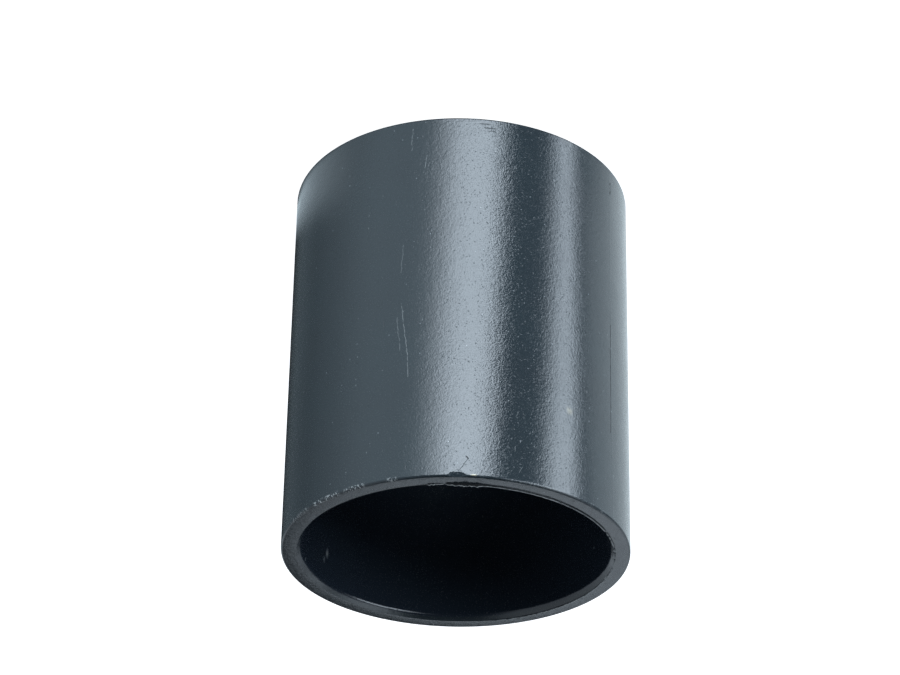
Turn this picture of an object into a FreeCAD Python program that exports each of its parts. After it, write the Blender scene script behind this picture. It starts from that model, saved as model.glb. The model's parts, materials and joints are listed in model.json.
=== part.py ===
import FreeCAD, Part
import math
import os

# A straight pipe coupler: one injection-moulded sleeve with a socket at each end.
# A pipe slides into each socket until it meets the ring in the middle, and is glued there.
# Units are millimetres and degrees. +Z runs along the bore and the lower end face is at Z = 0.

# The pipe that the sockets take
PIPE_DIAMETER = 36.3
PIPE_WALL = 1.8

# The sleeve, whose sockets are larger than the pipe by the room that the cement needs
CEMENT_CLEARANCE = 0.1
SLEEVE_WALL = 2.4
SOCKET_DEPTH = 22.6
OUTER_EDGE_RADIUS = 0.2

# The chamfer that leads the pipe into each mouth
LEAD_IN_WIDTH = 0.5
LEAD_IN_DEPTH = 0.55

# The stop ring between the two sockets, drafted so that both cores pull out of it
STOP_WIDTH = 3.0
STOP_DRAFT = 10.0
STOP_CREST_CHAMFER = 0.3

# The scoop left in the upper end's outer edge where the moulding gate was trimmed off
GATE_SCAR_WIDTH = 2.4
GATE_SCAR_DEPTH = 0.18
GATE_SCAR_REACH = 0.45
GATE_AZIMUTH = -90.0

# What follows from them
socket_radius = (PIPE_DIAMETER + CEMENT_CLEARANCE) / 2
outer_radius = socket_radius + SLEEVE_WALL
stop_radius = socket_radius - PIPE_WALL
length = 2 * SOCKET_DEPTH + STOP_WIDTH
flank_height = PIPE_WALL - STOP_CREST_CHAMFER
flank_end = SOCKET_DEPTH + flank_height * math.tan(math.radians(STOP_DRAFT))

ORIGIN = FreeCAD.Vector(0, 0, 0)
UP = FreeCAD.Vector(0, 0, 1)


def at(radius, height):
    """The point of the section at this radius and height."""
    return FreeCAD.Vector(radius, 0, height)


def lower_corners():
    """The corners of the section's lower half, from the outer edge in to the stop ring's crest.

    Each is a point and the radius that rounds it, where 0 leaves the corner sharp.
    """
    return [
        (at(outer_radius, 0), OUTER_EDGE_RADIUS),
        (at(socket_radius + LEAD_IN_WIDTH, 0), 0),
        (at(socket_radius, LEAD_IN_DEPTH), 0),
        (at(socket_radius, SOCKET_DEPTH), 0),
        (at(stop_radius + STOP_CREST_CHAMFER, flank_end), 0),
        (at(stop_radius, flank_end + STOP_CREST_CHAMFER), 0),
    ]


def upper_corners():
    """The lower corners mirrored about the middle of the sleeve, in the order that goes on round it."""
    return [(at(point.x, length - point.z), radius) for point, radius in reversed(lower_corners())]


def rounding(before, corner, after, radius):
    """Where an arc of this radius leaves the run into the corner, passes nearest it and joins the run out."""
    back = (before - corner).normalize()
    onward = (after - corner).normalize()
    half_angle = back.getAngle(onward) / 2
    setback = radius / math.tan(half_angle)
    gap = radius / math.sin(half_angle) - radius
    return corner + back * setback, corner + (back + onward).normalize() * gap, corner + onward * setback


def rounded_wire(corners):
    """The closed wire of straight runs through the corners, with a tangent arc where one has a radius."""
    turns = []
    for index, (corner, radius) in enumerate(corners):
        before = corners[index - 1][0]
        after = corners[(index + 1) % len(corners)][0]
        turns.append(rounding(before, corner, after, radius))
    edges = []
    for index, (start, nearest, end) in enumerate(turns):
        if corners[index][1]:
            edges.append(Part.Arc(start, nearest, end).toShape())
        next_start = turns[(index + 1) % len(turns)][0]
        edges.append(Part.LineSegment(end, next_start).toShape())
    return Part.Wire(edges)


def sleeve():
    """The turned form: outer wall, both sockets and the stop ring, from one revolved section."""
    section = Part.Face(rounded_wire(lower_corners() + upper_corners()))
    return section.revolve(ORIGIN, UP, 360)


def gate_scar():
    """The ball that scoops the upper outer edge.

    It meets the end face across the scar's width, and the outer wall at its reach below that face.
    """
    half_width = GATE_SCAR_WIDTH / 2
    patch_radius = (half_width**2 + GATE_SCAR_REACH**2) / (2 * GATE_SCAR_REACH)
    standoff = (half_width**2 - GATE_SCAR_DEPTH**2) / (2 * GATE_SCAR_DEPTH)
    ball_radius = math.hypot(standoff, patch_radius)
    centre = at(outer_radius + standoff, length - GATE_SCAR_REACH + patch_radius)
    ball = Part.makeSphere(ball_radius, centre)
    ball.rotate(ORIGIN, UP, GATE_AZIMUTH)
    return ball


def coupler_body():
    """The whole coupler, which is a single moulding."""
    return sleeve().cut(gate_scar())


def main():
    """Writes the one piece to parts/."""
    os.makedirs("parts", exist_ok=True)
    coupler_body().exportStep("parts/coupler_body.step")


main()
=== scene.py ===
"""The pipe coupler as it looks: one black moulded sleeve, with its rim, mould marks and light wear."""

import json
import logging
import math
from dataclasses import dataclass, field
from enum import Enum
from typing import NamedTuple

import bmesh
import bpy
from bmesh.types import BMEdge, BMesh, BMVert
from bpy.types import Material, Node, NodeSocket, NodeTree, Object
from mathutils import Matrix, Vector, noise


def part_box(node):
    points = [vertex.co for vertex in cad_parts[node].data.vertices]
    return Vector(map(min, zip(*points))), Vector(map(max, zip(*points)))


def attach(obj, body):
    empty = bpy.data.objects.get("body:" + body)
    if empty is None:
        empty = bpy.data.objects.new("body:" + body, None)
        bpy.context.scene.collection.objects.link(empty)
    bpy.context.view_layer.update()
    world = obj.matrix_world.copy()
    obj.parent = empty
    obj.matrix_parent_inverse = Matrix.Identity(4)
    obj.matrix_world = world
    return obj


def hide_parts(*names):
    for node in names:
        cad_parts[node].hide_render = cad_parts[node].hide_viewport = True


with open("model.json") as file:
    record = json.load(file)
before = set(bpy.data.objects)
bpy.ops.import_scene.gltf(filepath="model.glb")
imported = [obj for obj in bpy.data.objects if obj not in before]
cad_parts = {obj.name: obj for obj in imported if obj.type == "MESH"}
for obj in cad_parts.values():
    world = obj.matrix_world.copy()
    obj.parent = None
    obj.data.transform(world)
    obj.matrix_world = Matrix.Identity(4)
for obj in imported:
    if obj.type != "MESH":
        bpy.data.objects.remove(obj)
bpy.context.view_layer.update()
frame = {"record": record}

log = logging.getLogger("pipe_coupler")

MM = 0.001
FULL_TURN = 2 * math.pi
SHARP_ANGLE = math.radians(32.0)
WHITE = (1.0, 1.0, 1.0, 1.0)
BLACK = (0.0, 0.0, 0.0, 1.0)

# A Mix node's sockets for colours, which share their names with its other sockets
MIX_FIRST = 6
MIX_SECOND = 7
MIX_RESULT = 2


class Side(Enum):
    """The two mould halves' parting lines, by their azimuth in degrees as seen from the front."""

    RIGHT = 61.0
    LEFT = -119.0


def mm(value: float) -> float:
    """Returns a length in metres from one in millimetres."""
    return value * MM


def heading(azimuth: float) -> Vector:
    """Gives the level direction at an azimuth.

    Args:
        azimuth: Degrees from the front, -Y, growing towards -X.

    Returns:
        The unit vector that points there from the bore's axis.
    """
    angle = math.radians(azimuth)
    return Vector((-math.sin(angle), -math.cos(angle), 0.0))


def azimuth_of(point: Vector) -> float:
    """Returns the azimuth of a point in degrees, from -180 to 180, as heading() counts it."""
    return math.degrees(math.atan2(-point.x, -point.y))


def radius_of(point: Vector) -> float:
    """Returns how far a point is from the bore's axis, in metres."""
    return math.hypot(point.x, point.y)


def smooth_window(value: float, low: float, high: float, soft: float) -> float:
    """Fades a value in at one limit and out at another.

    Args:
        value: The number to test.
        low: Where the fade in is half done.
        high: Where the fade out is half done.
        soft: The whole width of each fade.

    Returns:
        1 well inside the limits, 0 well outside them.
    """

    def rise(distance: float) -> float:
        """Returns the smooth step from 0 to 1 across the fade."""
        share = min(max(distance / soft + 0.5, 0.0), 1.0)
        return share * share * (3 - 2 * share)

    return rise(value - low) * rise(high - value)


class NodeBench:
    """A short way to lay out shader nodes in one node tree."""

    def __init__(self, tree: NodeTree) -> None:
        """Starts with an empty tree.

        Args:
            tree: The node tree to fill.
        """
        self.tree = tree
        self.tree.nodes.clear()

    def add(self, kind: str, inputs: dict | None = None, **settings: object) -> Node:
        """Adds a node.

        Args:
            kind: The node's type name, such as ShaderNodeMath.
            inputs: What goes into each input socket, by its name or number: a value or another socket.
            settings: The node's own properties.

        Returns:
            The new node.
        """
        node = self.tree.nodes.new(kind)
        for name, value in settings.items():
            setattr(node, name, value)
        for name, value in (inputs or {}).items():
            self.feed(node.inputs[name], value)
        return node

    def feed(self, socket: NodeSocket, value: object) -> None:
        """Links an output socket to an input, or sets the input to a plain value.

        Args:
            socket: The input socket.
            value: A node socket, or a value for it.
        """
        if isinstance(value, NodeSocket):
            self.tree.links.new(value, socket)
        else:
            socket.default_value = value

    def math(self, operation: str, *values: object) -> NodeSocket:
        """Returns the result of one Math node.

        Args:
            operation: The operation's name, such as MULTIPLY.
            values: Its operands, numbers or sockets.
        """
        node = self.add("ShaderNodeMath", dict(enumerate(values)), operation=operation)
        return node.outputs[0]

    def fade(self, value: object, start: float, end: float, low: float = 0.0, high: float = 1.0) -> object:
        """Returns a smooth ramp between two levels.

        Args:
            value: The socket that drives the ramp.
            start: The value where the ramp leaves the first level.
            end: The value where it reaches the second.
            low: The first level.
            high: The second level.
        """
        flip = start > end
        inputs = {
            "Value": value,
            "From Min": end if flip else start,
            "From Max": start if flip else end,
            "To Min": high if flip else low,
            "To Max": low if flip else high,
        }
        node = self.add("ShaderNodeMapRange", inputs, interpolation_type="SMOOTHSTEP")
        return node.outputs["Result"]

    def blend(self, share: object, first: object, second: object) -> NodeSocket:
        """Returns a colour mixed from two.

        Args:
            share: How much of the second colour there is.
            first: A colour or a colour socket.
            second: A colour or a colour socket.
        """
        inputs = {"Factor": share, MIX_FIRST: first, MIX_SECOND: second}
        node = self.add("ShaderNodeMix", inputs, data_type="RGBA")
        return node.outputs[MIX_RESULT]

    def between(self, value: object, low: float, high: float, half: float) -> NodeSocket:
        """Returns a mask that fades in at one limit and out at another.

        Args:
            value: The socket to test.
            low: Where the fade in is half done.
            high: Where the fade out is half done.
            half: Half the width of each fade.
        """
        rise = self.fade(value, low - half, low + half)
        return self.math("MULTIPLY", rise, self.fade(value, high + half, high - half))

    def product(self, first: object, *others: object) -> object:
        """Returns all the values multiplied together.

        Args:
            first: The first of them.
            others: The rest.
        """
        for other in others:
            first = self.math("MULTIPLY", first, other)
        return first

    def azimuth(self, parts: object) -> NodeSocket:
        """Returns the azimuth in degrees of a point or direction, as heading() counts it.

        Args:
            parts: The outputs that give its X, Y and Z.
        """
        x, y = (self.math("MULTIPLY", part, -1.0) for part in parts[:2])
        return self.math("DEGREES", self.math("ARCTAN2", x, y))

    def level_distance(self, parts: object) -> NodeSocket:
        """Returns how far a point is from the bore's axis, in metres.

        Args:
            parts: The outputs that give its X, Y and Z.
        """
        level = self.add("ShaderNodeCombineXYZ", {"X": parts[0], "Y": parts[1]}).outputs[0]
        return self.add("ShaderNodeVectorMath", {0: level}, operation="LENGTH").outputs["Value"]


def new_material(name: str) -> tuple[Material, NodeBench]:
    """Makes a material.

    Args:
        name: The material's name.

    Returns:
        The material, and the bench for its nodes.
    """
    material = bpy.data.materials.new(name)
    material.use_nodes = True
    return material, NodeBench(material.node_tree)


class Ramp(NamedTuple):
    """A smooth change from one level to another, as a value goes from a start to an end."""

    start: float
    end: float
    low: float = 0.0
    high: float = 1.0

    def past(self, base: float, unit: float = 1.0) -> "Ramp":
        """Returns the ramp counted from a base, and with its start and end in another unit."""
        return self._replace(start=(base + self.start) * unit, end=(base + self.end) * unit)


class Grain(NamedTuple):
    """Noise with grains of a size in millimetres, how many finer layers it has, and how strong they are."""

    size: float
    detail: float
    roughness: float = 0.55

    def on(self, bench: NodeBench, place: object) -> NodeSocket:
        """Returns the noise, laid out on a bench at the coordinates in place."""
        inputs = {
            "Vector": place,
            "Scale": 1 / mm(self.size),
            "Detail": self.detail,
            "Roughness": self.roughness,
        }
        return bench.add("ShaderNodeTexNoise", inputs).outputs["Fac"]


class Specks(NamedTuple):
    """Small round specks scattered at random.

    spacing is the size in millimetres of the cells that may hold one speck each, size is a speck's radius
    as a share of its cell, share is the share of the cells that hold one, and core is how much of its
    radius is at full strength.
    """

    spacing: float
    size: float
    share: float
    core: float = 0.4

    def on(self, bench: NodeBench, place: object) -> NodeSocket:
        """Returns the specks' mask.

        Args:
            bench: The bench to lay them out on.
            place: The coordinates' socket.
        """
        cells = bench.add("ShaderNodeTexVoronoi", {"Vector": place, "Scale": 1 / mm(self.spacing)})
        dot = bench.fade(cells.outputs["Distance"], self.size, self.core * self.size)
        chosen = bench.add("ShaderNodeSeparateColor", {"Color": cells.outputs["Color"]}).outputs[0]
        return bench.math("MULTIPLY", dot, bench.math("LESS_THAN", chosen, self.share))


class Streaks(NamedTuple):
    """Noise drawn out along the bore, with streaks of a width and a length in millimetres."""

    width: float
    length: float
    detail: float = 2.0
    roughness: float = 0.5

    def on(self, bench: NodeBench, place: object) -> NodeSocket:
        """Returns the noise.

        Args:
            bench: The bench to lay it out on.
            place: The coordinates' socket.
        """
        stretch = (1 / mm(self.width), 1 / mm(self.width), 1 / mm(self.length))
        drawn = bench.add("ShaderNodeMapping", {"Vector": place, "Scale": stretch}).outputs[0]
        inputs = {"Vector": drawn, "Scale": 1.0, "Detail": self.detail, "Roughness": self.roughness}
        return bench.add("ShaderNodeTexNoise", inputs).outputs["Fac"]


class Tone(Enum):
    """What a mark does to the black: scratches it pale or paints a pale reflection on it, darkens it, or
    bares or soils it to a muted cream.
    """

    PALE = "pale"
    DARK = "dark"
    CREAM = "cream"


@dataclass(frozen=True)
class Mark:
    """A scratch, speck or painted reflection: a straight line up the wall from one azimuth and height to
    another.

    Azimuths are degrees from the front and lengths are millimetres. A whole mark isn't broken up by the
    grain, and tip is half the length over which each of its ends fades.
    """

    azimuth: float
    low: float
    to_azimuth: float
    high: float
    width: float
    amount: float
    tone: Tone = Tone.PALE
    whole: bool = False
    in_bore: bool = False
    tip: float = 0.05


@dataclass(frozen=True)
class Scuff:
    """A stretch of the upper outer edge that handling has whitened, between two azimuths in degrees."""

    start: float
    end: float
    amount: float


@dataclass(frozen=True)
class Spot:
    """The point of the surface that is being shaded, as sockets: where it lies, and on which wall.

    place is in metres, azimuth in degrees, height in millimetres, and reach is the distance from the bore's
    axis in metres. outside and in_bore are the masks of the outer wall and of the bore's wall.
    """

    place: object
    azimuth: object
    height: object
    reach: object
    outside: object
    in_bore: object


@dataclass(frozen=True)
class MouldedBlack:
    """Black plastic straight from the mould: a fine orange peel, light scratches, dust and pale scuffs, with
    painted shade in the bore and on the flash's flank and painted reflections on the bore's wall.

    Sizes, heights and depths are in millimetres and azimuths in degrees.
    """

    name: str = "moulded_black"
    refraction: float = 1.5
    body_colour: tuple = (0.0150, 0.0215, 0.0250, 1.0)
    cool_tint: tuple = (1.12, 1.12, 1.12, 1.0)
    warm_tint: tuple = (1.10, 0.95, 0.96, 1.0)
    dust_colour: tuple = (0.30, 0.33, 0.35, 1.0)
    # The pale colour of scuffs and scratches, also used for the painted reflections on the bore's wall
    scuff_and_reflection_colour: tuple = (0.46, 0.48, 0.48, 1.0)
    cream_colour: tuple = (0.42, 0.38, 0.27, 1.0)
    dark_colour: tuple = (0.004, 0.005, 0.006, 1.0)
    # The bore's wall: a darker colour, painted shade
    bore_shade_colour: tuple = (0.012, 0.017, 0.024, 1.0)
    tint_grain: Grain = Grain(9.0, 1.0)
    dust_specks: Specks = Specks(0.9, 0.11, 0.22)
    dust_cover: float = 0.55

    # Roughness
    gloss_grain: Grain = Grain(4.0, 3.0)
    gloss: Ramp = Ramp(0.3, 0.7, 0.055, 0.105)
    worn_streaks: Streaks = Streaks(0.35, 14.0)
    worn: Ramp = Ramp(0.6, 0.75, 0.0, 0.06)
    fleck_grain: Grain = Grain(0.13, 2.0)
    flecks: Ramp = Ramp(0.52, 0.68, 0.0, 0.24)
    pit_dulling: float = 0.12
    dark_dulling: float = 0.75
    pale_dulling: float = 0.3

    # Relief
    waves: tuple = ((Grain(3.5, 1.0), 0.03), (Grain(0.42, 1.0), 0.018), (Grain(0.16, 2.0), 0.021))
    pit_specks: Specks = Specks(0.38, 0.24, 0.6)
    pit_depth: float = 0.012
    drag_streaks: Streaks = Streaks(0.12, 18.0)
    drag: Ramp = Ramp(0.62, 0.78)
    drag_height: float = 0.0015
    scratch_depth: float = 0.02
    shake_size: float = 0.5
    shake_reach: float = 0.45
    shake_detail: float = 1.0
    shake_middle: tuple = (0.5, 0.5, 0.5)

    # The walls, the rim and the crest of its flash
    rim_height: float = 48.2
    wall_radius: float = 20.6
    wall_fade: Ramp = Ramp(-0.5, -0.15)
    bore_radius: float = 18.2
    bore_fade: Ramp = Ramp(0.25, 0.1)
    crest_radius: float = 18.82
    # The flash's outer flank carries painted shade
    flank_height: Ramp = Ramp(0.005, 0.02)
    flank_reach: Ramp = Ramp(0.002, 0.012)
    crest_height: Ramp = Ramp(0.03, 0.06)
    crest_reach: Ramp = Ramp(0.02, 0.0)
    crest_grain: Grain = Grain(0.5, 2.0)
    crest_patches: Ramp = Ramp(0.35, 0.6, 0.25, 1.0)
    crest_whitening: Ramp = Ramp(8.0, 14.0, 0.8, 0.35)

    # Scratches, ticks and scuffs, and pale streaks on the bore's wall that are painted reflections
    wander_grain: Grain = Grain(1.3, 2.0)
    wander_reach: float = 0.6
    break_grain: Grain = Grain(0.45, 1.0)
    breaks: Ramp = Ramp(0.34, 0.52, 0.15, 1.0)
    mark_core: float = 0.3
    tick_specks: Specks = Specks(0.55, 0.10, 0.07)
    tick_stretch: tuple = (1.0, 1.0, 0.2)
    tick_amount: float = 0.4
    scuff_height: Ramp = Ramp(-0.5, -0.3)
    scuff_soft: float = 1.0
    tear_grain: Grain = Grain(0.22, 3.0)
    tears: Ramp = Ramp(0.52, 0.62)
    marks: tuple = (
        Mark(-17.0, 1.2, -17.3, 4.3, 0.05, 0.35),
        Mark(-11.8, 5.2, -12.5, 7.1, 0.05, 0.40),
        Mark(-19.4, 17.3, -19.8, 21.1, 0.05, 0.22),
        Mark(-19.5, 25.2, -17.0, 32.0, 0.05, 0.35),
        Mark(-17.0, 32.0, -16.5, 35.2, 0.05, 0.28),
        Mark(-20.9, 27.0, -19.4, 31.6, 0.05, 0.28),
        Mark(21.0, 46.2, 19.6, 47.0, 0.04, 0.25, whole=True),
        Mark(18.4, 43.7, 18.2, 44.4, 0.04, 0.25, whole=True),
        Mark(19.2, 39.2, 18.5, 39.9, 0.04, 0.20, whole=True),
        Mark(-25.3, 27.2, -25.2, 28.3, 0.07, 0.5, Tone.DARK),
        Mark(61.5, 2.0, 61.5, 3.8, 0.16, 0.8, Tone.DARK),
        Mark(60.6, 22.3, 59.8, 37.0, 0.09, 0.9, Tone.DARK, whole=True),
        Mark(3.4, 45.9, 0.4, 47.5, 0.05, 0.5, Tone.DARK, whole=True),
        Mark(2.5, 45.6, 3.4, 46.0, 0.12, 0.7, Tone.DARK, whole=True),
        # Three wide dark streaks low on the wall, at its foot
        Mark(7.0, 0.70, 7.2, 0.82, 0.9, 0.5, Tone.DARK, whole=True),
        Mark(9.0, 1.22, 9.2, 1.36, 1.1, 0.5, Tone.DARK, whole=True),
        Mark(9.4, 1.70, 9.6, 1.78, 0.9, 0.4, Tone.DARK, whole=True),
        Mark(38.3, 37.0, 38.4, 37.5, 0.60, 0.34, Tone.CREAM, whole=True, tip=0.45),
        Mark(4.9, 47.85, 4.9, 48.02, 0.42, 0.9, Tone.CREAM, whole=True),
        # Painted reflections: pale streaks on the bore's wall near the rim
        Mark(-121.6, 43.2, -121.4, 44.1, 0.34, 0.30, whole=True, in_bore=True, tip=0.45),
        Mark(-119.6, 44.4, -119.4, 45.1, 0.28, 0.16, whole=True, in_bore=True, tip=0.35),
        Mark(-101.6, 47.1, -101.6, 47.5, 0.20, 0.3, whole=True, in_bore=True),
        Mark(113.3, 43.2, 113.3, 43.5, 0.20, 0.3, whole=True, in_bore=True),
        Mark(95.9, 44.6, 95.9, 45.8, 0.10, 0.4, whole=True, in_bore=True),
    )
    scuffs: tuple = (
        Scuff(-53.0, -41.0, 1.0),
        Scuff(-38.5, -31.0, 0.8),
        Scuff(-22.5, -19.5, 0.6),
        Scuff(-67.0, -56.0, 0.4),
        Scuff(15.0, 34.0, 0.12),
        Scuff(44.0, 56.0, 0.12),
    )

    def build(self) -> Material:
        """Returns the finished material."""
        material, bench = new_material(self.name)
        spot = self.spot(bench)
        marks = self.marked(bench, spot)
        shaken = self.shaken(bench, spot)
        pale = bench.math("MAXIMUM", marks[Tone.PALE], self.ticks(bench, spot, shaken))
        # The dark marks, and the painted shade on the flash's outer flank: both darken the colour and raise
        # the roughness
        dark_marks_and_shade = bench.math("MAXIMUM", marks[Tone.DARK], self.flank(bench, spot))
        on_show = bench.math("SUBTRACT", 1.0, spot.in_bore)
        pits = bench.math("MULTIPLY", self.pit_specks.on(bench, shaken), on_show)
        soiled = bench.blend(marks[Tone.CREAM], self.colour(bench, spot), self.cream_colour)
        # The pale marks, painted reflections on the bore's wall among them, with the scuffs and the flash's
        # pale crest
        whitened = bench.math("MAXIMUM", pale, self.scuffed(bench, spot))
        lit = bench.blend(whitened, soiled, self.scuff_and_reflection_colour)
        # The pale marks, painted reflections on the bore's wall among them, also raise the roughness
        scratched_and_reflections = bench.math("MULTIPLY", pale, self.pale_dulling)
        roughened = bench.math("MULTIPLY_ADD", dark_marks_and_shade, self.dark_dulling, scratched_and_reflections)
        shader = bench.add("ShaderNodeBsdfPrincipled")
        shader.inputs["IOR"].default_value = self.refraction
        bench.feed(shader.inputs["Base Color"], bench.blend(dark_marks_and_shade, lit, self.dark_colour))
        bench.feed(shader.inputs["Roughness"], bench.math("ADD", self.roughness(bench, spot, pits), roughened))
        bench.feed(shader.inputs["Normal"], self.relief(bench, spot, pits, marks[Tone.DARK]))
        bench.add("ShaderNodeOutputMaterial", {"Surface": shader.outputs["BSDF"]})
        return material

    def spot(self, bench: NodeBench) -> Spot:
        """Returns the shaded point, with the nodes that tell where it is.

        Args:
            bench: The material's bench.
        """
        place = bench.add("ShaderNodeTexCoord").outputs["Object"]
        parts = bench.add("ShaderNodeSeparateXYZ", {"Vector": place}).outputs
        reach = bench.level_distance(parts)
        return Spot(
            place=place,
            azimuth=bench.azimuth(parts),
            height=bench.math("MULTIPLY", parts[2], 1 / MM),
            reach=reach,
            outside=bench.fade(reach, *self.wall_fade.past(self.wall_radius, MM)),
            in_bore=bench.fade(reach, *self.bore_fade.past(self.bore_radius, MM)),
        )

    def marked(self, bench: NodeBench, spot: Spot) -> dict:
        """Returns a mask of the marks of each tone, with all but the whole ones broken up.

        Args:
            bench: The material's bench.
            spot: The shaded point.
        """
        totals = {tone: 0.0 for tone in Tone}
        noise_level = self.wander_grain.on(bench, spot.place)
        wander = bench.math("MULTIPLY_ADD", noise_level, 2 * self.wander_reach, -self.wander_reach)
        wavy = bench.math("ADD", spot.azimuth, wander)
        broken = bench.fade(self.break_grain.on(bench, spot.place), *self.breaks)
        for mark in self.marks:
            lean = (mark.to_azimuth - mark.azimuth) / (mark.high - mark.low)
            line = bench.math("MULTIPLY_ADD", spot.height, lean, mark.azimuth - mark.low * lean)
            aside = bench.math("ABSOLUTE", bench.math("SUBTRACT", wavy, line))
            half = math.degrees(mark.width / self.wall_radius)
            across = bench.fade(aside, half, self.mark_core * half)
            ends = bench.between(spot.height, mark.low, mark.high, mark.tip)
            drawn = bench.product(across, ends, spot.in_bore if mark.in_bore else spot.outside)
            if not mark.whole:
                drawn = bench.math("MULTIPLY", drawn, broken)
            totals[mark.tone] = bench.math("MULTIPLY_ADD", drawn, mark.amount, totals[mark.tone])
        return totals

    def ticks(self, bench: NodeBench, spot: Spot, shaken: object) -> NodeSocket:
        """Returns the mask of the short hairline ticks that handling has left all over the outer wall.

        Args:
            bench: The material's bench.
            spot: The shaded point.
            shaken: The shaken coordinates.
        """
        narrow = bench.add("ShaderNodeMapping", {"Vector": shaken, "Scale": self.tick_stretch}).outputs[0]
        shown = bench.math("MULTIPLY", spot.outside, self.tick_amount)
        return bench.math("MULTIPLY", self.tick_specks.on(bench, narrow), shown)

    def shaken(self, bench: NodeBench, spot: Spot) -> NodeSocket:
        """Returns the coordinates, shifted a little here and there so that specks lose their round shape.

        Args:
            bench: The material's bench.
            spot: The shaded point.
        """
        inputs = {"Vector": spot.place, "Scale": 1 / mm(self.shake_size), "Detail": self.shake_detail}
        colour = bench.add("ShaderNodeTexNoise", inputs).outputs["Color"]
        centred = bench.add("ShaderNodeVectorMath", {0: colour, 1: self.shake_middle}, operation="SUBTRACT")
        scaled = bench.add("ShaderNodeVectorMath", {0: centred.outputs[0]}, operation="SCALE")
        bench.feed(scaled.inputs["Scale"], mm(self.shake_reach))
        inputs = {0: spot.place, 1: scaled.outputs[0]}
        return bench.add("ShaderNodeVectorMath", inputs, operation="ADD").outputs[0]

    def flank(self, bench: NodeBench, spot: Spot) -> NodeSocket:
        """Returns the mask of the flash's outer flank, where painted shade darkens the colour and the
        roughness rises.

        Args:
            bench: The material's bench.
            spot: The shaded point.
        """
        proud = bench.fade(spot.height, *self.flank_height.past(self.rim_height))
        outer = bench.fade(spot.reach, *self.flank_reach.past(self.crest_radius, MM))
        return bench.math("MULTIPLY", proud, outer)

    def scuffed(self, bench: NodeBench, spot: Spot) -> NodeSocket:
        """Returns the mask of the pale parts: the scuffed edge, and the pale crest of the flash.

        Args:
            bench: The material's bench.
            spot: The shaded point.
        """
        total = 0.0
        for scuff in self.scuffs:
            here = bench.between(spot.azimuth, scuff.start, scuff.end, self.scuff_soft)
            total = bench.math("MULTIPLY_ADD", here, scuff.amount, total)
        top = bench.fade(spot.height, *self.scuff_height.past(self.rim_height))
        torn = bench.fade(self.tear_grain.on(bench, spot.place), *self.tears)
        edge = bench.product(total, spot.outside, top, torn)
        proud = bench.fade(spot.height, *self.crest_height.past(self.rim_height))
        inner = bench.fade(spot.reach, *self.crest_reach.past(self.crest_radius, MM))
        patchy = bench.fade(self.crest_grain.on(bench, spot.place), *self.crest_patches)
        crest = bench.product(proud, inner, patchy, bench.fade(spot.azimuth, *self.crest_whitening))
        return bench.math("MAXIMUM", edge, crest)

    def colour(self, bench: NodeBench, spot: Spot) -> NodeSocket:
        """Returns the black, with a faint drift of tint, and dust on all but the bore, whose wall has a
        darker colour as painted shade.

        Args:
            bench: The material's bench.
            spot: The shaded point.
        """
        cool, warm = (
            tuple(part * share for part, share in zip(self.body_colour, tint))
            for tint in (self.cool_tint, self.warm_tint)
        )
        tinted = bench.blend(self.tint_grain.on(bench, spot.place), cool, warm)
        cover = bench.math("MULTIPLY_ADD", spot.in_bore, -self.dust_cover, self.dust_cover)
        settled = bench.math("MULTIPLY", self.dust_specks.on(bench, spot.place), cover)
        # The bore's wall takes its darker colour, painted shade
        return bench.blend(spot.in_bore, bench.blend(settled, tinted, self.dust_colour), self.bore_shade_colour)

    def roughness(self, bench: NodeBench, spot: Spot, pits: object) -> NodeSocket:
        """Returns the roughness, which drifts a little and rises in flecks, in pits and in worn spots.

        Args:
            bench: The material's bench.
            spot: The shaded point.
            pits: The mask of the fine pits that the mould's surface has left.
        """
        drift = bench.fade(self.gloss_grain.on(bench, spot.place), *self.gloss)
        worn = bench.fade(self.worn_streaks.on(bench, spot.place), *self.worn)
        flecks = bench.fade(self.fleck_grain.on(bench, spot.place), *self.flecks)
        dimmed = bench.math("MULTIPLY_ADD", pits, self.pit_dulling, bench.math("ADD", drift, worn))
        return bench.math("ADD", dimmed, flecks)

    def relief(self, bench: NodeBench, spot: Spot, pits: object, dark: object) -> NodeSocket:
        """Returns the normal, bent by the mould's swell, orange peel, pits, drag marks and scratches.

        Args:
            bench: The material's bench.
            spot: The shaded point.
            pits: The mask of the fine pits.
            dark: The mask of the dark scratches.
        """
        dragged = bench.fade(self.drag_streaks.on(bench, spot.place), *self.drag)
        layers = [(grain.on(bench, spot.place), depth) for grain, depth in self.waves]
        layers += [(pits, -self.pit_depth), (dragged, self.drag_height), (dark, -self.scratch_depth)]
        normal = None
        for height, depth in layers:
            inputs = {"Height": height, "Distance": mm(abs(depth)), "Strength": 1.0}
            if normal:
                inputs["Normal"] = normal
            normal = bench.add("ShaderNodeBump", inputs, invert=depth < 0).outputs["Normal"]
        return normal


def turned(section: list, start: Vector, segments: int) -> BMesh:
    """Spins a closed section about the bore's axis.

    Args:
        section: Its corners as radius and height, in metres.
        start: The level direction that the section starts in.
        segments: The number of steps in the full turn.

    Returns:
        The closed ring.
    """
    mesh = bmesh.new()
    corners = [mesh.verts.new(start * radius + Vector((0, 0, height))) for radius, height in section]
    sides = [mesh.edges.new((corners[index - 1], corner)) for index, corner in enumerate(corners)]
    bmesh.ops.spin(
        mesh,
        geom=corners + sides,
        cent=(0, 0, 0),
        axis=(0, 0, 1),
        angle=FULL_TURN,
        steps=segments,
        use_merge=True,
    )
    bmesh.ops.recalc_face_normals(mesh, faces=mesh.faces)
    return mesh


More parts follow.
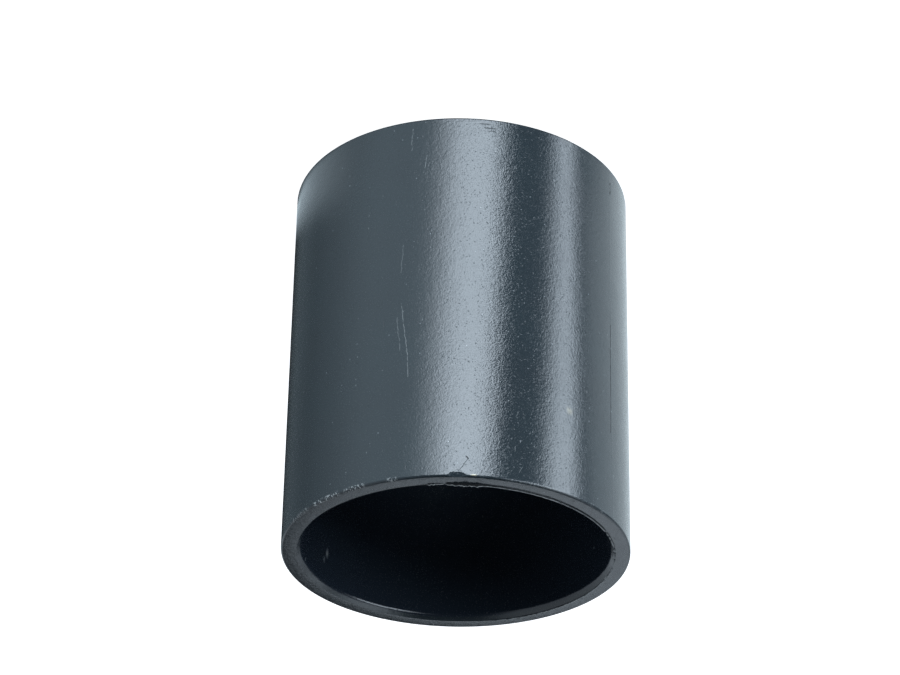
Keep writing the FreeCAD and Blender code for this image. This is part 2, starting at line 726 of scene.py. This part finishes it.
@dataclass
class Sleeve:
    """The one moulding: a plain sleeve with two sockets and the stop ring between them."""

    node: str
    outer_radius: float
    length: float
    socket_radius: float
    socket_start: float
    socket_length: float
    lead_in_width: float = mm(0.5)
    outer_round: float = mm(0.27)
    lead_in_round: float = mm(0.23)
    stop_height: float = mm(1.8)
    stop_draft: float = math.radians(10.0)
    stop_round: float = mm(0.3)
    segments: int = 720
    round_steps: int = 5
    round_profile: float = 0.5
    scar_start: float = -3.3
    scar_end: float = 4.2
    scar_rise: float = 1.0
    scar_fall: float = 2.6
    lead_start: float = -12.0
    lead_rise: float = 26.0
    scar_depth: float = mm(0.18)
    scar_reach: float = mm(0.56)
    scar_rows: int = 10
    steady_rows: tuple = (mm(0.7), mm(1.1), mm(2.0))
    parting_height: float = mm(0.015)
    parting_half_width: float = math.radians(0.22)
    frayed: tuple = (-15.0, 150.0, 20.0)
    fray_waves: tuple = ((mm(0.35), 1.0), (mm(0.14), 0.6))
    fray_least: float = mm(0.012)
    fray_more: float = mm(0.03)
    tolerance: float = mm(0.001)
    cut_tolerance: float = mm(0.0005)
    azimuth_tolerance: float = 0.01
    mesh: BMesh = field(default=None, repr=False)

    @classmethod
    def from_frame(cls, node: str) -> "Sleeve":
        """Takes the sleeve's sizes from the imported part.

        Args:
            node: The name of the node that holds the moulding.

        Returns:
            The sleeve, ready to build.
        """
        low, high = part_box(node)
        mounts = {mount["name"]: mount for mount in frame["record"]["mounts"]}
        socket = mounts["lower_socket"]
        return cls(
            node=node,
            outer_radius=(high[0] - low[0]) / 2,
            length=high[2] - low[2],
            socket_radius=mm(socket["dims"]["r_mm"]),
            socket_start=socket["pos_m"][2],
            socket_length=mm(socket["dims"]["length_mm"]),
        )

    @property
    def stop_start(self) -> float:
        """The height at which the lower socket ends and the stop ring begins."""
        return self.socket_start + self.socket_length

    def half_section(self) -> list[tuple[float, float]]:
        """Returns the lower half's corners as radius and height, from the outer edge in to the crest."""
        stop_radius = self.socket_radius - self.stop_height
        crest_start = self.stop_start + self.stop_height * math.tan(self.stop_draft)
        return [
            (self.outer_radius, 0.0),
            (self.socket_radius + self.lead_in_width, 0.0),
            (self.socket_radius, self.socket_start),
            (self.socket_radius, self.stop_start),
            (stop_radius, crest_start),
        ]

    def turn(self) -> None:
        """Spins the section into the closed sleeve."""
        lower = self.half_section()
        upper = [(radius, self.length - height) for radius, height in reversed(lower)]
        self.mesh = turned(lower + upper, heading(Side.RIGHT.value), self.segments)

    def ring_edges(self, radius: float, height: float) -> list[BMEdge]:
        """Returns the edges of one of the sleeve's circles.

        Args:
            radius: The circle's radius in metres.
            height: Its height in metres.
        """

        def on_ring(vertex: BMVert) -> bool:
            """Returns whether a vertex lies on that circle."""
            near = abs(radius_of(vertex.co) - radius) < self.tolerance
            return near and abs(vertex.co.z - height) < self.tolerance

        return [edge for edge in self.mesh.edges if all(on_ring(vertex) for vertex in edge.verts)]

    def round_ring(self, radius: float, height: float, width: float) -> None:
        """Rounds the circular edge at a radius and height.

        Args:
            radius: The edge's radius in metres.
            height: The edge's height in metres.
            width: The radius of the round in metres.
        """
        bmesh.ops.bevel(
            self.mesh,
            geom=self.ring_edges(radius, height),
            offset=width,
            offset_type="OFFSET",
            affect="EDGES",
            segments=self.round_steps,
            profile=self.round_profile,
            material=-1,
        )

    def round_edges(self) -> None:
        """Rounds the outer edges, the inner ends of the lead-ins and the stop ring's crest."""
        crest = self.half_section()[-1]
        for radius, height, width in (
            (self.outer_radius, 0.0, self.outer_round),
            (self.socket_radius, self.socket_start, self.lead_in_round),
            (crest[0], crest[1], self.stop_round),
        ):
            self.round_ring(radius, height, width)
            self.round_ring(radius, self.length - height, width)

    def cut(self, point: Vector, normal: Vector) -> None:
        """Cuts a loop of edges through the whole mesh, and removes nothing.

        Args:
            point: A point on the cutting plane.
            normal: The plane's normal.
        """
        geometry = self.mesh.verts[:] + self.mesh.edges[:] + self.mesh.faces[:]
        bmesh.ops.bisect_plane(
            self.mesh, geom=geometry, dist=self.cut_tolerance, plane_co=point, plane_no=normal
        )

    def raise_parting_lines(self) -> None:
        """Raises the fine ridge that the mould halves leave down each side of the outer wall."""
        for lean in (-self.parting_half_width, self.parting_half_width):
            across = Matrix.Rotation(lean, 3, "Z") @ heading(Side.RIGHT.value + 90)
            self.cut(Vector((0, 0, 0)), across)
        for vertex in self.mesh.verts:
            azimuth = azimuth_of(vertex.co)
            on_wall = abs(radius_of(vertex.co) - self.outer_radius) < self.tolerance
            if on_wall and any(abs(azimuth - side.value) < self.azimuth_tolerance for side in Side):
                vertex.co += heading(azimuth) * self.parting_height

    def trim_gate(self) -> None:
        """Shaves the upper outer edge at the front to a sloping flat, where the gate was trimmed off."""
        top = self.length - self.outer_round
        step = (self.scar_reach - self.outer_round) / self.scar_rows
        rows = [top - step * row for row in range(1, self.scar_rows + 1)]
        rows += [self.length - self.scar_reach - row for row in self.steady_rows]
        for height in rows:
            self.cut(Vector((0, 0, height)), Vector((0, 0, 1)))
        slope = self.scar_depth / self.scar_reach
        inmost = self.outer_radius - self.scar_depth - self.outer_round
        for vertex in self.mesh.verts:
            azimuth = azimuth_of(vertex.co)
            fall = (self.scar_end - azimuth) / self.scar_fall
            lead = min(fall, (azimuth - self.lead_start) / self.lead_rise)
            depth = max(lead, min(1.0, (azimuth - self.scar_start) / self.scar_rise, fall))
            foot = self.length - self.scar_reach * depth
            limit = self.outer_radius - (vertex.co.z - foot) * slope
            if depth > 0 and vertex.co.z > foot and radius_of(vertex.co) > max(limit, inmost):
                vertex.co -= heading(azimuth) * (radius_of(vertex.co) - limit)

    def fray_lead_in(self) -> None:
        """Frays the upper lead-in's outer corner, which the flash has left ragged on the right."""
        for vertex in self.mesh.verts:
            corner = abs(radius_of(vertex.co) - self.socket_radius - self.lead_in_width) < self.tolerance
            if not corner or abs(vertex.co.z - self.length) > self.tolerance:
                continue
            azimuth = azimuth_of(vertex.co)
            jitter = sum(share * noise.noise(vertex.co / size) for size, share in self.fray_waves)
            reach = self.fray_least + self.fray_more * smooth_window(azimuth, *self.frayed)
            vertex.co += heading(azimuth) * jitter * reach

    def build(self, finish: Material) -> Object:
        """Builds the sleeve and puts it in place of its node.

        Args:
            finish: The plastic's material.

        Returns:
            The sleeve's object.
        """
        self.turn()
        self.round_edges()
        self.raise_parting_lines()
        self.trim_gate()
        self.fray_lead_in()
        return dress("moulded_sleeve", self.mesh, finish, self.node)


@dataclass
class RimFlash:
    """The thin, ragged burr of flash that stands on the upper end face, along the edge of the lead-in.

    Its torn, steady and broken stretches are two azimuths and the width of their ends, in degrees.
    """

    sleeve: Sleeve
    foot_width: float = mm(0.20)
    crest_width: float = mm(0.12)
    root_depth: float = mm(0.05)
    segments: int = 1440
    torn: tuple = (-10.0, 8.0, 6.0)
    torn_height: float = mm(0.12)
    torn_wave: float = mm(0.22)
    steady: tuple = (-4.0, 168.0, 14.0)
    steady_height: float = mm(0.15)
    steady_wave: float = mm(0.03)
    waves: tuple = ((mm(0.9), 1.0), (mm(0.3), 0.7))
    broken: tuple = (66.0, 112.0, 10.0)
    gap_size: float = mm(0.45)
    gap_seed: tuple = (7, 3, 5)
    gap_rise: float = 0.25
    gap_limit: float = 0.3

    def height_at(self, azimuth: float, point: Vector) -> float:
        """Returns how far the burr stands above the end face.

        Args:
            azimuth: Degrees from the front.
            point: The point on the burr, which seeds its raggedness.
        """
        gaps = noise.noise(point / self.gap_size + Vector(self.gap_seed)) + self.gap_rise
        if smooth_window(azimuth, *self.broken) * gaps > self.gap_limit:
            return 0.0
        wave = sum(share * noise.noise(point / size) for size, share in self.waves)
        torn = smooth_window(azimuth, *self.torn) * (self.torn_height + self.torn_wave * wave)
        steady = smooth_window(azimuth, *self.steady) * (self.steady_height + self.steady_wave * wave)
        return max(torn + steady, 0.0)

    def build(self, finish: Material) -> Object:
        """Builds the burr.

        Args:
            finish: The plastic's material.

        Returns:
            The burr's object.
        """
        foot = self.sleeve.socket_radius + self.sleeve.lead_in_width
        top = self.sleeve.length
        section = [
            (foot, top - self.root_depth),
            (foot + self.foot_width, top - self.root_depth),
            (foot + self.crest_width, top),
            (foot, top),
        ]
        mesh = turned(section, heading(0), self.segments)
        for vertex in mesh.verts:
            if vertex.co.z > top - self.root_depth / 2:
                azimuth = azimuth_of(vertex.co)
                rise = self.height_at(azimuth, heading(azimuth) * foot)
                vertex.co.z += rise if rise else -self.root_depth / 2
        return dress("rim_flash", mesh, finish)


def link_mesh(name: str, mesh: BMesh, finish: Material) -> Object:
    """Turns a finished mesh into an object of the scene.

    Args:
        name: The object's name.
        mesh: The mesh, in the row's frame, which is freed.
        finish: Its material.

    Returns:
        The object.
    """
    data = bpy.data.meshes.new(name)
    mesh.to_mesh(data)
    mesh.free()
    data.materials.append(finish)
    piece = bpy.data.objects.new(name, data)
    bpy.context.scene.collection.objects.link(piece)
    return piece


def dress(name: str, mesh: BMesh, finish: Material, node: str | None = None) -> Object:
    """Turns a finished mesh into a piece that rides on the part.

    Args:
        name: The piece's name.
        mesh: The mesh, in the row's frame.
        finish: Its material.
        node: The node that it stands for, if any.

    Returns:
        The piece.
    """
    piece = link_mesh(name, mesh, finish)
    piece.data.shade_smooth()
    piece.data.set_sharp_from_angle(angle=SHARP_ANGLE)
    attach(piece, "root")
    if node:
        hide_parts(node)
    log.info("built %s with %d faces", name, len(piece.data.polygons))
    return piece


@dataclass(frozen=True)
class Edge:
    """One upright side of a patch of light.

    The azimuth is in degrees from the front, growing to the right of the picture. soft is the width of the
    fade in degrees, and slant is how far the side leans to the right for each degree downwards.
    """

    azimuth: float
    soft: float = 6.0
    slant: float = 0.0


@dataclass(frozen=True)
class Softbox:
    """A patch of light in the surroundings, between two sides and two elevations in degrees."""

    left: Edge
    right: Edge
    level: float
    low: float = -62.0
    high: float = -8.0
    soft_ends: float = 8.0
    pivot: float = -28.0
    tint: tuple = (0.775, 0.89, 1.0)

    def side(self, bench: NodeBench, azimuth: object, elevation: object, edge: Edge, turn: float) -> object:
        """Returns the fade at one upright side.

        Args:
            bench: The world's bench.
            azimuth: The socket that gives the azimuth.
            elevation: The socket that gives the elevation.
            edge: The side.
            turn: 1 where the light is to its right, -1 where it is to its left.
        """
        leaning = azimuth
        if edge.slant:
            drop = bench.math("SUBTRACT", elevation, self.pivot)
            leaning = bench.math("ADD", azimuth, bench.math("MULTIPLY", drop, edge.slant))
        half = turn * edge.soft / 2
        return bench.fade(leaning, edge.azimuth - half, edge.azimuth + half)

    def shape(self, bench: NodeBench, azimuth: object, elevation: object) -> NodeSocket:
        """Returns a mask that is 1 inside the patch.

        Args:
            bench: The world's bench.
            azimuth: The socket that gives the azimuth.
            elevation: The socket that gives the elevation.
        """
        left = self.side(bench, azimuth, elevation, self.left, 1.0)
        right = self.side(bench, azimuth, elevation, self.right, -1.0)
        return bench.product(left, right, bench.between(elevation, self.low, self.high, self.soft_ends / 2))

    def paint(self, bench: NodeBench, azimuth: object, elevation: object) -> NodeSocket:
        """Returns the patch's colour and brightness as one colour.

        Args:
            bench: The world's bench.
            azimuth: The socket that gives the azimuth.
            elevation: The socket that gives the elevation.
        """
        strength = bench.math("MULTIPLY", self.shape(bench, azimuth, elevation), self.level)
        lit = bench.add("ShaderNodeVectorMath", {0: self.tint}, operation="SCALE")
        bench.feed(lit.inputs["Scale"], strength)
        return lit.outputs[0]


@dataclass
class Studio:
    """The pale floor, the soft light around the object, and the camera."""

    camera_place: tuple = (mm(1.131), mm(-325.025), mm(203.284))
    camera_tilt: float = 29.599
    camera_roll: float = -178.928
    focal_share: float = 3048.07 / 900
    sensor: float = 36.0
    clip_start: float = mm(10.0)
    floor_size: float = 4.0
    floor_colour: tuple = (0.9, 0.9, 0.9, 1.0)
    floor_glow: float = 0.92
    # The card: a painted reflection of lit floor, with painted shade where it meets the wall's foot
    card_across: tuple = (mm(10.0), mm(34.0))
    card_deep: tuple = (mm(-22.0), mm(14.0))
    card_centre: tuple = (mm(6.0), mm(-8.0), 0.0)
    card_fade: Ramp = Ramp(24.5, 15.0)
    card_side: Ramp = Ramp(-20.0, -13.0)
    card_gap: Ramp = Ramp(20.7, 21.0)
    card_colour: tuple = (0.76, 0.93, 1.04, 1.0)
    card_glow: float = 0.95
    shade_reach: float = mm(18.0)
    shade_height: float = mm(0.3)
    surroundings: float = 0.02
    seam: float = -170.0
    backdrop: Softbox = Softbox(
        Edge(95.6, 1.0), Edge(172.0, 10.0), 1.04, low=-38.0, high=-12.0, tint=(0.85, 0.99, 1.07)
    )
    softboxes: tuple = (
        Softbox(Edge(-14.2, 30.0, 0.2), Edge(21.8, 3.5, 0.58), 10.3, low=-50.0),
        Softbox(Edge(-12.0, 16.0), Edge(19.5, 4.0), 2.3, low=-28.0, soft_ends=4.0),
        Softbox(Edge(62.6, 13.0, 0.85), Edge(84.8, 2.0, 0.3), 6.1, low=-50.0, high=16.0),
        Softbox(Edge(63.5, 14.0, 0.85), Edge(81.0, 6.0), 1.9, low=-30.3, high=16.0, soft_ends=4.0),
        Softbox(Edge(-90.0, 70.0), Edge(-20.0, 10.0), 1.40, low=-50.0, tint=(0.69, 0.88, 1.0)),
        Softbox(Edge(-157.0, 24.0), Edge(-100.0, 20.0), 0.20, low=-50.0, high=0.0, tint=(0.66, 0.88, 1.0)),
        Softbox(Edge(112.0, 16.0), Edge(179.6, 4.0), 1.36, low=18.0, high=40.0, soft_ends=6.0),
        Softbox(Edge(125.0, 20.0), Edge(174.0, 6.0), 0.55, low=-14.0, high=16.0, soft_ends=6.0),
        Softbox(Edge(-176.0, 6.0), Edge(-146.0, 10.0), 0.50, low=-16.0, high=8.0, soft_ends=6.0),
        Softbox(Edge(179.6, 4.0), Edge(187.0, 4.0), 0.06, low=18.0, high=40.0, soft_ends=6.0),
        Softbox(Edge(179.6, 4.0), Edge(187.0, 4.0), 1.35, low=25.8, high=40.0, soft_ends=4.0),
        Softbox(Edge(-163.0, 10.0), Edge(-40.0, 30.0), 0.80, low=-2.0, high=62.0),
        Softbox(Edge(56.0, 16.0), Edge(104.0, 16.0), 2.1, low=32.0, high=58.0),
    )

    def light(self) -> None:
        """Paints the surroundings: softboxes in a dark room, with the white backdrop open on one side."""
        world = bpy.data.worlds.new("studio")
        world.use_nodes = True
        bpy.context.scene.world = world
        bench = NodeBench(world.node_tree)
        toward = bench.add("ShaderNodeTexCoord").outputs["Generated"]
        parts = bench.add("ShaderNodeSeparateXYZ", {"Vector": toward})
        measured = bench.azimuth(parts.outputs)
        past_seam = bench.math("LESS_THAN", measured, self.seam)
        azimuth = bench.math("MULTIPLY_ADD", past_seam, math.degrees(FULL_TURN), measured)
        elevation = bench.math("DEGREES", bench.math("ARCSINE", parts.outputs[2]))
        total = (self.surroundings, self.surroundings, self.surroundings)
        for box in self.softboxes + (self.backdrop,):
            painted = box.paint(bench, azimuth, elevation)
            total = bench.add("ShaderNodeVectorMath", {0: total, 1: painted}, operation="ADD").outputs[0]
        rays = bench.add("ShaderNodeLightPath").outputs
        direct = bench.math("MAXIMUM", rays["Is Camera Ray"], rays["Is Transmission Ray"])
        open_side = self.backdrop.shape(bench, azimuth, elevation)
        mirrored = bench.math("MULTIPLY", rays["Is Glossy Ray"], open_side)
        around, paper, white = (
            bench.add("ShaderNodeBackground", {"Color": colour, "Strength": 1.0}).outputs[0]
            for colour in (total, self.backdrop.tint + (1.0,), WHITE)
        )
        glossy = bench.add("ShaderNodeMixShader", {0: mirrored, 1: around, 2: paper}).outputs[0]
        either = bench.add("ShaderNodeMixShader", {0: direct, 1: glossy, 2: white}).outputs[0]
        bench.add("ShaderNodeOutputWorld", {"Surface": either})

    def lay_floor(self) -> None:
        """Lays the floor, which shows as white, darkens under the object, and isn't mirrored by it."""
        material, bench = new_material("white_floor")
        rays = bench.add("ShaderNodeLightPath").outputs
        seen = bench.math("MAXIMUM", rays["Is Camera Ray"], rays["Is Transmission Ray"])
        strength = bench.math("MULTIPLY", seen, self.floor_glow)
        paper = bench.add("ShaderNodeBsdfDiffuse", {"Color": self.floor_colour})
        glow = bench.add("ShaderNodeEmission", {"Color": WHITE, "Strength": strength})
        both = bench.add("ShaderNodeAddShader", {0: paper.outputs[0], 1: glow.outputs[0]})
        bench.add("ShaderNodeOutputMaterial", {"Surface": both.outputs[0]})
        half = self.floor_size / 2
        floor = self.sheet("floor", (-half, half), (-half, half), 0.0, material)
        floor.visible_glossy = False
        floor.visible_shadow = False

    def lay_card(self) -> None:
        """Lays a glowing patch beside the wall's foot at the left, which only mirrored rays meet: a painted
        reflection of lit white floor that fades away from its middle and stops short of the wall as painted
        shade.
        """
        material, bench = new_material("white_card")
        place = bench.add("ShaderNodeTexCoord").outputs["Object"]
        parts = bench.add("ShaderNodeSeparateXYZ", {"Vector": place}).outputs
        inputs = {0: place, 1: self.card_centre}
        away = bench.add("ShaderNodeVectorMath", inputs, operation="DISTANCE").outputs["Value"]
        here = bench.product(
            bench.fade(away, *self.card_fade.past(0.0, MM)),
            bench.fade(parts[1], *self.card_side.past(0.0, MM)),
            bench.fade(bench.level_distance(parts), *self.card_gap.past(0.0, MM)),
        )
        glow = bench.add("ShaderNodeEmission", {"Color": self.card_colour, "Strength": self.card_glow})
        self.show_where(bench, here, glow)
        self.mirrored_only(self.sheet("low_card", self.card_across, self.card_deep, 0.0, material))

    def lay_shade(self) -> None:
        """Lays a black sheet inside the lower mouth, painted shade that only mirrored rays meet."""
        material, bench = new_material("shaded_floor")
        place = bench.add("ShaderNodeTexCoord").outputs["Object"]
        reached = bench.add("ShaderNodeVectorMath", {0: place}, operation="LENGTH").outputs["Value"]
        inside = bench.math("LESS_THAN", reached, self.shade_reach)
        black = bench.add("ShaderNodeEmission", {"Color": BLACK, "Strength": 0.0})
        self.show_where(bench, inside, black)
        span = (-self.shade_reach, self.shade_reach)
        self.mirrored_only(self.sheet("bore_shade", span, span, self.shade_height, material))

    def show_where(self, bench: NodeBench, mask: object, shader: Node) -> None:
        """Finishes a material that shows a shader inside a mask, and is clear elsewhere.

        Args:
            bench: The material's bench.
            mask: The mask.
            shader: The shader's node.
        """
        clear = bench.add("ShaderNodeBsdfTransparent")
        surface = bench.add("ShaderNodeMixShader", {0: mask, 1: clear.outputs[0], 2: shader.outputs[0]})
        bench.add("ShaderNodeOutputMaterial", {"Surface": surface.outputs[0]})

    def mirrored_only(self, piece: Object) -> None:
        """Hides a sheet from all but mirrored rays.

        Args:
            piece: The sheet.
        """
        piece.visible_camera = False
        piece.visible_diffuse = False
        piece.visible_transmission = False
        piece.visible_shadow = False

    def sheet(self, name: str, across: tuple, deep: tuple, height: float, finish: Material) -> Object:
        """Lays a flat sheet at a height.

        Args:
            name: The sheet's name.
            across: Its two limits along X in metres.
            deep: Its two limits along Y in metres.
            height: Its height above the floor in metres.
            finish: Its material.

        Returns:
            The sheet's object.
        """
        mesh = bmesh.new()
        bmesh.ops.create_grid(mesh, x_segments=1, y_segments=1, size=0.5)
        width, depth = across[1] - across[0], deep[1] - deep[0]
        bmesh.ops.scale(mesh, vec=(width, depth, 1), verts=mesh.verts)
        bmesh.ops.translate(mesh, vec=(sum(across) / 2, sum(deep) / 2, height), verts=mesh.verts)
        piece = link_mesh(name, mesh, finish)
        return piece

    def place_camera(self) -> None:
        """Sets the camera up at the photograph's angle."""
        data = bpy.data.cameras.new("camera")
        data.sensor_width = self.sensor
        data.lens = self.focal_share * self.sensor
        data.clip_start = self.clip_start
        camera = bpy.data.objects.new("camera", data)
        tilt = Matrix.Rotation(math.radians(90 - self.camera_tilt), 4, "X")
        roll = Matrix.Rotation(math.radians(self.camera_roll), 4, "Z")
        camera.matrix_world = Matrix.Translation(self.camera_place) @ tilt @ roll
        bpy.context.scene.collection.objects.link(camera)
        bpy.context.scene.camera = camera

    def build(self) -> None:
        """Sets up the light, the floor, the camera and the plain colour transform."""
        bpy.context.scene.view_settings.view_transform = "Standard"
        self.light()
        self.lay_floor()
        self.lay_card()
        self.lay_shade()
        self.place_camera()
        log.info("studio ready")


def main() -> None:
    """Builds the coupler and the studio around it."""
    logging.basicConfig(level=logging.INFO)
    sleeve = Sleeve.from_frame("coupler_body")
    finish = MouldedBlack().build()
    sleeve.build(finish)
    RimFlash(sleeve).build(finish)
    Studio().build()


if __name__ == "__main__":
    main()
